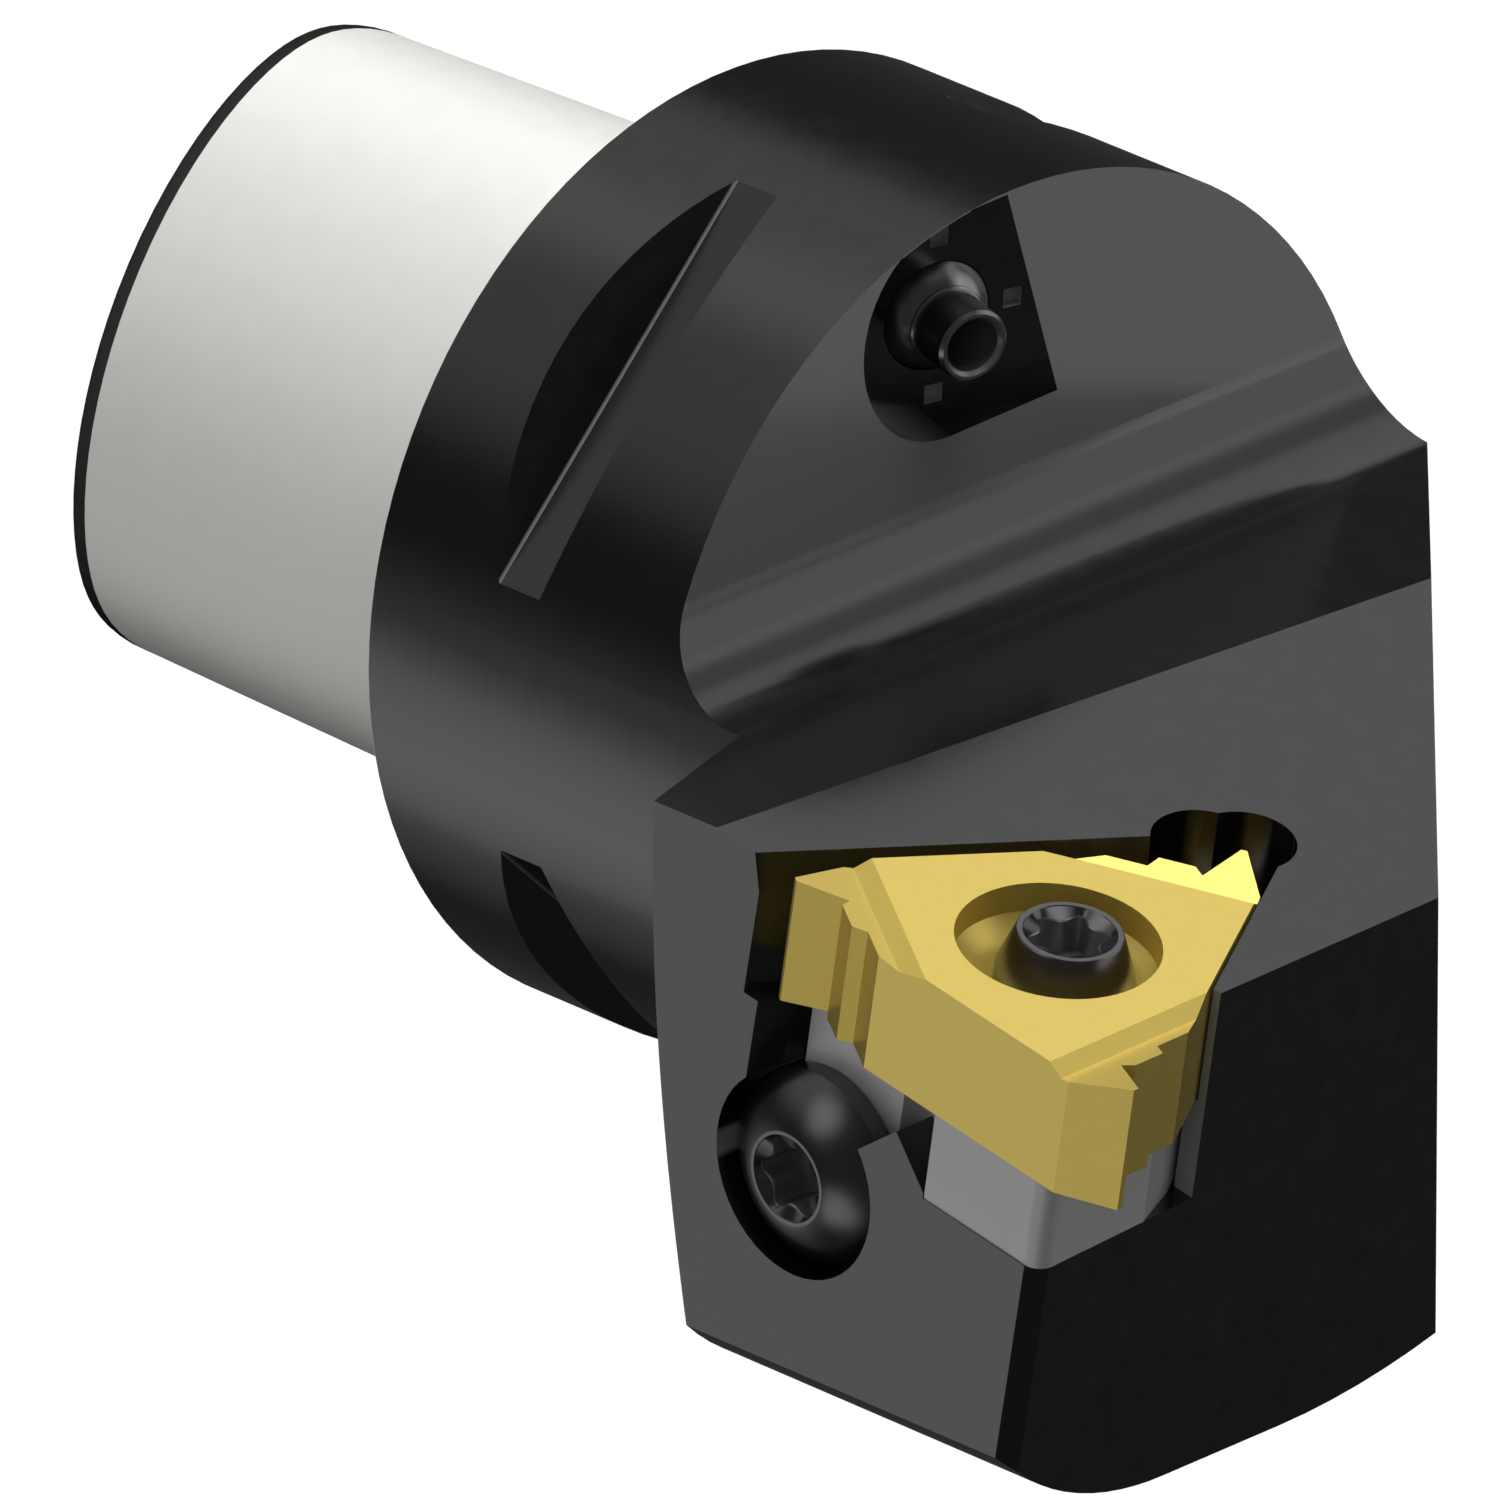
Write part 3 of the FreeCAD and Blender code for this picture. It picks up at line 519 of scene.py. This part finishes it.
def nozzle_lip(material):
    """The thin lip of the flange's rim that stays in front of the nozzle's slot."""
    into_slot = NOZZLE.inverted()
    first_turn, turn_step, turns = 92, 0.125, 161
    slice_step, slices = 0.02, 171
    inner = FLANGE_RADIUS - LIP_THICKNESS
    rows = []
    for step in range(turns):
        turn = math.radians(first_turn + step * turn_step)
        open_at = []
        for part in range(slices):
            x = FLANGE_FRONT - part * slice_step
            on_rim = Vector((x, FLANGE_RADIUS * math.cos(turn), FLANGE_RADIUS * math.sin(turn)))
            at = into_slot @ (on_rim * MM) / MM
            in_slot = math.hypot(at.x, at.y) < SLOT_RADIUS or (abs(at.x) < SLOT_RADIUS and at.y > 0)
            if at.z > 0 and in_slot:
                open_at.append(x)
        if open_at:
            high = min(max(open_at) + slice_step, FLANGE_FRONT)
            rows.append((turn, min(open_at) - slice_step, high))
    verts = []
    faces = []
    for turn, low, high in rows:
        for x, r in ((low, FLANGE_RADIUS), (high, FLANGE_RADIUS), (high, inner), (low, inner)):
            verts.append(Vector((x, r * math.cos(turn), r * math.sin(turn))) * MM)
    for row in range(len(rows) - 1):
        for side in range(4):
            following = (side + 1) % 4
            faces.append((row * 4 + side, row * 4 + following, row * 4 + 4 + following, row * 4 + 4 + side))
    mesh = solid_mesh("nozzle_lip", verts, faces)
    add_piece("nozzle_lip", mesh, "holder", [material], sharp=30)


def lead_in(material):
    """The lead-in at the rear of the shank, taken from the shape of the ground part in front of it, and
    painted near black as painted shade on a face that turns away from the light.
    """
    at_front = [v.co for v in nodes["head_body"].data.vertices if abs(v.co.x - LEAD_IN_X) < 0.02 * MM]
    points = [(math.atan2(v.z, v.y), math.hypot(v.y, v.z)) for v in at_front]
    # only the outside of the shank, not its bore
    front = sorted(point for point in points if point[1] > 12 * MM)
    verts = []
    faces = []
    slices = ((0.0, 0.004), (0.55, -0.010), (0.72, -0.05), (0.8, -0.17), (0.8, -0.9))
    for back, out in slices:
        for angle, radius in front:
            r = radius + out * MM
            verts.append((LEAD_IN_X - back * MM, r * math.cos(angle), r * math.sin(angle)))
    count = len(front)
    for level in range(len(slices) - 1):
        for turn in range(count):
            following = (turn + 1) % count
            low, high = level * count, (level + 1) * count
            faces.append((low + turn, high + turn, high + following, low + following))
    mesh = bpy.data.meshes.new("lead_in")
    mesh.from_pydata(verts, [], faces)
    add_piece("lead_in", mesh, "holder", [material])


def on_seat(along, aside, level):
    """A point given from the centre of the insert's seat, in the plane of the insert."""
    return (SEAT + TILTED @ Vector((along, aside, level))) * MM


def wall_plan(wall):
    """The plan of what stands between a wall at this distance, the wall as cut and the hole's rim."""
    def beyond(point):
        return point.x * math.cos(WALL_DIRECTION) + point.y * math.sin(WALL_DIRECTION)

    def towards_back(point):
        return point.y * math.sin(WALL_DIRECTION) - point.x * math.cos(WALL_DIRECTION)

    rim = []
    for step in range(721):
        turn = math.radians(-90 + step * 0.25)
        point = RELIEF_HOLE + RELIEF_RADIUS * Vector((math.cos(turn), math.sin(turn)))
        if beyond(point) >= wall and towards_back(point) <= CUT_BACK:
            rim.append(point)
    corner_aside = CUT_BACK + CUT_WALL
    corner = Vector(((CUT_WALL - corner_aside / 2) / math.cos(WALL_DIRECTION), corner_aside))
    cut_aside = (CUT_WALL - WALL_FRONT * math.cos(WALL_DIRECTION)) / math.sin(WALL_DIRECTION)
    end_along = (wall - WALL_END_ASIDE / 2) / math.cos(WALL_DIRECTION)
    before = [Vector((WALL_FRONT, WALL_END_ASIDE)), Vector((WALL_FRONT, cut_aside)), corner]
    return before + rim[::-1] + [Vector((end_along, WALL_END_ASIDE))]


def far_wall(material, end_material):
    """The pocket's wall brought up to the insert and the shim, with the relief hole's round rim."""
    verts = []
    faces = []
    beside_insert = (WALL_BESIDE_INSERT, WALL_TOP, SHIM_LEVEL, 0.0)
    beside_shim = (WALL_BESIDE_SHIM, SHIM_LEVEL, FLOOR_LEVEL, FLOOR_LEAN)
    for wall, high, low, lean in (beside_insert, beside_shim):
        plan = wall_plan(wall)
        first, count = len(verts), len(plan)
        verts += [on_seat(p.x, p.y, high) for p in plan]
        verts += [on_seat(p.x, p.y, low + p.y * lean) for p in plan]
        upper = list(range(first, first + count))
        lower = list(range(first + count, first + 2 * count))
        faces += [upper, lower[::-1]]
        for side in range(count):
            following = (side + 1) % count
            faces.append((upper[side], lower[side], lower[following], upper[following]))
    mesh = solid_mesh("far_wall", verts, faces, join=False)
    for polygon in mesh.polygons:
        # painted light: the wall's facets that face -Y take the lighter grey end finish
        polygon.material_index = int(polygon.normal.y < -0.9)
    add_piece("far_wall", mesh, "holder", [material, end_material], sharp=15)


def notch_fillets(material):
    """The small fillet in the rear corner of each grip notch, between its wall and its floor, with a painted
    highlight from its lighter grey.
    """
    steps = 4
    proud = 0.004
    profile = []
    for step in range(steps + 1):
        along = step / steps
        on_floor = FILLET_REACH * (1 - along) ** 2
        on_wall = FILLET_REACH * along ** 2
        x = NOTCH_CORNER_X + on_floor - on_wall * math.sin(NOTCH_LEAN) + proud
        profile.append((x, NOTCH_FLOOR + on_wall * math.cos(NOTCH_LEAN) + proud))
    verts = []
    faces = []
    for quarter in range(4):
        turn = math.radians(45 + 90 * quarter)
        first = len(verts)
        for side in (-1, 1):
            for x, up in profile:
                across = side * math.sqrt(FLANGE_RADIUS ** 2 - up ** 2)
                y = across * math.cos(turn) - up * math.sin(turn)
                z = across * math.sin(turn) + up * math.cos(turn)
                verts.append(Vector((x, y, z)) * MM)
        for step in range(steps):
            low = first + step
            faces.append((low, low + steps + 1, low + steps + 2, low + 1))
    mesh = bpy.data.meshes.new("notch_fillets")
    mesh.from_pydata(verts, [], faces)
    add_piece("notch_fillets", mesh, "holder", [material])


def finish_node(name, material):
    """Give a CAD node its only material."""
    mesh = nodes[name].data
    mesh.materials.clear()
    mesh.materials.append(material)


def camera():
    """The photograph's view."""
    data = bpy.data.cameras.new("camera")
    data.lens = LENS
    data.sensor_width = SENSOR
    distance = VIEW_WIDTH * LENS / SENSOR
    back = direction(CAMERA_AZIMUTH, CAMERA_ELEVATION)
    view = bpy.data.objects.new("camera", data)
    view.location = LOOK_AT + back * distance
    turn = back.to_track_quat("Z", "Y").to_matrix() @ Euler((0, 0, math.radians(CAMERA_ROLL))).to_matrix()
    view.rotation_euler = turn.to_euler()
    data.clip_start = distance / 10
    data.clip_end = distance * 10
    bpy.context.scene.collection.objects.link(view)
    bpy.context.scene.camera = view


camera()
studio()
floor()
head = black_oxide()
painted_light = finish("painted_light_steel")
screw = finish("black_screw")
finish_node("head_body", head)
finish_node("carbide_shim", finish("ground_carbide"))
finish_node("threading_insert", finish("gold_coating"))
# painted light: the first rings of each socket and of the nozzle's bore take the lighter grey
turned("insert_screw_turned", INSERT_SCREW, insert_screw_rings(),
       "clamp_screw", "insert_screw", [screw, painted_light], 4)
turned("shim_screw_turned", SHIM_SCREW, shim_screw_rings(),
       "side_screw", "shim_screw", [screw, painted_light], 4)
turned("nozzle_turned", NOZZLE, nozzle_rings(),
       "nozzle", "coolant_nozzle", [finish("turned_nozzle"), painted_light], 2)
lead_in(finish("lead_in_painted_shade"))
nozzle_lip(head)
# painted highlight: the notch fillets take the lighter grey
notch_fillets(painted_light)
far_wall(head, finish("painted_lit_end"))
bpy.context.scene.view_settings.view_transform = "Standard"
